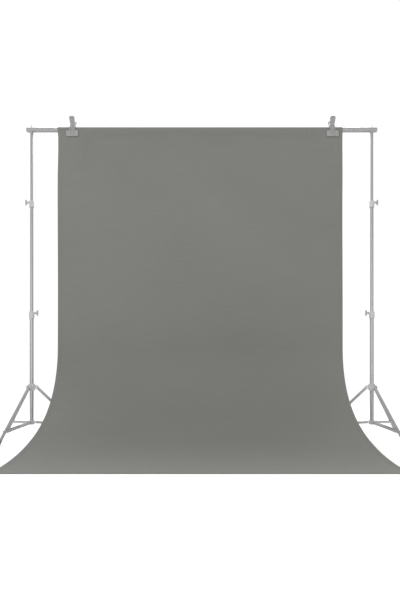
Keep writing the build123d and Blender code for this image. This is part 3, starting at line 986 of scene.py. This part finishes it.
def rubber_foot(side, leg):
    """A ribbed rubber cup on a leg's end, worn flat where it meets the floor."""
    joint = next(j for j in frame["joints"] if j["name"] == f"{side}_{leg}_leg_hinge")
    pivot = Vector(joint["pos_m"])
    axis = (middle(f"{side}_{leg}_leg_pin") - pivot).normalized()
    tip = (pivot.z - 4.0 * MM) / -axis.z
    start = tip - 32.0 * MM
    size = 9.0 * MM
    outline = [(start, 8.05 * MM), (start + 0.1 * MM, size - 0.5 * MM), (start + 0.7 * MM, size)]
    outline.append((start + 4.0 * MM, size))
    for rib in range(4):
        place = start + (5.5 + 4.0 * rib) * MM
        outline += [(place, size), (place + 0.4 * MM, size - 0.5 * MM)]
        outline += [(place + 1.2 * MM, size - 0.5 * MM), (place + 1.6 * MM, size)]
    for step in range(7):
        turn = math.pi / 2 * step / 6
        outline.append((tip - 3 * MM + 3 * MM * math.sin(turn), size - 3 * MM + 3 * MM * math.cos(turn)))
    outline.append((tip, 0.5 * MM))
    form = Solid()
    form.turned(pivot, axis, outline, 40)
    for vertex in form.vertices:
        vertex.z = max(vertex.z, 0.0)
    stand_in(form.piece(f"{side}_{leg}_rubber_foot", "foot", "foot"), f"{side}_{leg}_foot")


class SUPPORT_OT_feet(bpy.types.Operator):
    """Make the six ribbed rubber feet"""

    bl_idname = "support.feet"
    bl_label = "Rubber feet"

    def execute(self, context):
        for side in SIDES:
            for leg in LEGS:
                rubber_foot(side, leg)
        return {"FINISHED"}


# ---- stage ----------------------------------------------------------------------------


def soft_light(name, place, target, size, power):
    """A large soft lamp that points at a target."""
    lamp = bpy.data.lights.new(name, "AREA")
    lamp.shape = "RECTANGLE"
    lamp.size, lamp.size_y = size
    lamp.energy = power
    made = bpy.data.objects.new(name, lamp)
    bpy.context.scene.collection.objects.link(made)
    made.location = place
    made.rotation_euler = (Vector(target) - Vector(place)).to_track_quat("-Z", "Y").to_euler()


def studio_world():
    """An even white surround."""
    world = bpy.data.worlds.new("studio")
    world.use_nodes = True
    background = world.node_tree.nodes["Background"]
    background.inputs["Color"].default_value = (1, 1, 1, 1)
    background.inputs["Strength"].default_value = 1.05
    return world


class SUPPORT_OT_stage(bpy.types.Operator):
    """Lay the floor, hang the lights and place the camera"""

    bl_idname = "support.stage"
    bl_label = "Stage"

    def execute(self, context):
        scene = bpy.context.scene
        half = 14.0
        corners = [(x * half, y * half, -MM) for x, y in ((-1, -1), (1, -1), (1, 1), (-1, 1))]
        mesh = mesh_from("floor", corners, [[0, 1, 2, 3]])
        floor = bpy.data.objects.new("floor", mesh)
        scene.collection.objects.link(floor)
        recipe = Recipe("pale_floor", roughness=0.9)
        dust = recipe.noise(recipe.place(), 3.0)
        tone = tuple(colours().floor)
        recipe.feed("Base Color", recipe.shade(dust, times(tone, 0.99), times(tone, 1.01)))
        floor.data.materials.append(recipe.material)
        scene.world = studio_world()
        chest = (0, BAR.y, 0.9)
        bar_middle = tuple(BAR)
        soft_light("front_softbox", (0.3, -4.8, 0.9), chest, (3.0, 2.0), 82.0)
        soft_light("left_softbox", (-3.6, -2.8, 1.8), chest, (1.6, 2.2), 36.0)
        soft_light("bar_strip", (0.0, BAR.y + 0.35, BAR.z + 0.85), bar_middle, (2.4, 0.25), 46.0)
        scene.view_settings.view_transform = "Standard"
        lens = bpy.data.cameras.new("camera")
        lens.lens = 27.0
        lens.sensor_width = 36.0
        lens.shift_y = 0.1033
        camera = bpy.data.objects.new("camera", lens)
        scene.collection.objects.link(camera)
        camera.location = (-0.010, BAR.y - 2.58, 0.43)
        camera.rotation_euler = (math.pi / 2, 0, 0)
        scene.camera = camera
        return {"FINISHED"}


class SUPPORT_PT_panel(bpy.types.Panel):
    """Lists the pieces that can be made, and the sizes and colours they use"""

    bl_idname = "SUPPORT_PT_panel"
    bl_label = "Background support"
    bl_space_type = "VIEW_3D"
    bl_region_type = "UI"
    bl_category = "Backdrop"

    def draw(self, context):
        layout = self.layout
        for name in BackdropSizes.__annotations__:
            layout.prop(context.scene.backdrop_sizes, name)
        for name in FinishColours.__annotations__:
            layout.prop(context.scene.finish_colours, name)
        for operator in OPERATORS:
            layout.operator(operator.bl_idname)


OPERATORS = (
    SUPPORT_OT_finishes,
    SUPPORT_OT_backdrop,
    SUPPORT_OT_clamps,
    SUPPORT_OT_knobs,
    SUPPORT_OT_feet,
    SUPPORT_OT_stage,
)


def register():
    """Add the classes and the scene's properties."""
    for each in (BackdropSizes, FinishColours, *OPERATORS, SUPPORT_PT_panel):
        bpy.utils.register_class(each)
    bpy.types.Scene.backdrop_sizes = bpy.props.PointerProperty(type=BackdropSizes)
    bpy.types.Scene.finish_colours = bpy.props.PointerProperty(type=FinishColours)


def unregister():
    """Take them away again."""
    del bpy.types.Scene.finish_colours
    del bpy.types.Scene.backdrop_sizes
    for each in reversed((BackdropSizes, FinishColours, *OPERATORS, SUPPORT_PT_panel)):
        bpy.utils.unregister_class(each)


def main():
    """Make every piece in order."""
    register()
    bpy.ops.support.finishes()
    bpy.ops.support.backdrop()
    bpy.ops.support.clamps()
    bpy.ops.support.knobs()
    bpy.ops.support.feet()
    bpy.ops.support.stage()


if __name__ == "__main__":
    main()
